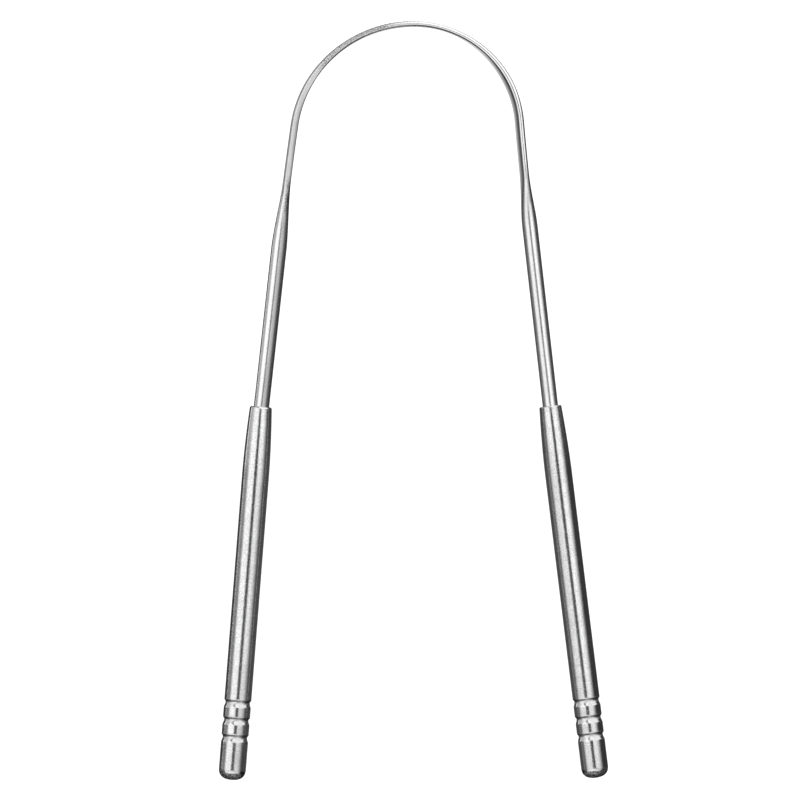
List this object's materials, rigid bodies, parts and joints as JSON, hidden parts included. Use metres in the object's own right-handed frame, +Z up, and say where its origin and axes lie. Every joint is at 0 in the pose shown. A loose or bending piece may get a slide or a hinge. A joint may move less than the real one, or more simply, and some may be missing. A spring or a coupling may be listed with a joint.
{
  "type": "tongue scraper",
  "caption": "Steel tongue scraper: a wire flattened into a bowed blade, with a hollow tube handle swaged onto each end.",
  "frame": {"origin": "under the middle of the whole object, on the surface that it lies on", "axes": "+Z up, across the width of the blade; +Y from the handles to the crown of the bow; +X across the bow, from the left handle to the right one"},
  "size_m": [0.0796, 0.1552, 0.0066],
  "materials": {
    "wire_steel": "polished stainless steel wire with faint drawing lines",
    "handle_steel": "polished stainless steel tube with a fine speckled grain and light scuffs"
  },
  "bodies": {
    "root": {"scraper_wire": "wire_steel", "left_handle": "handle_steel", "right_handle": "handle_steel"}
  },
  "joints": []
}
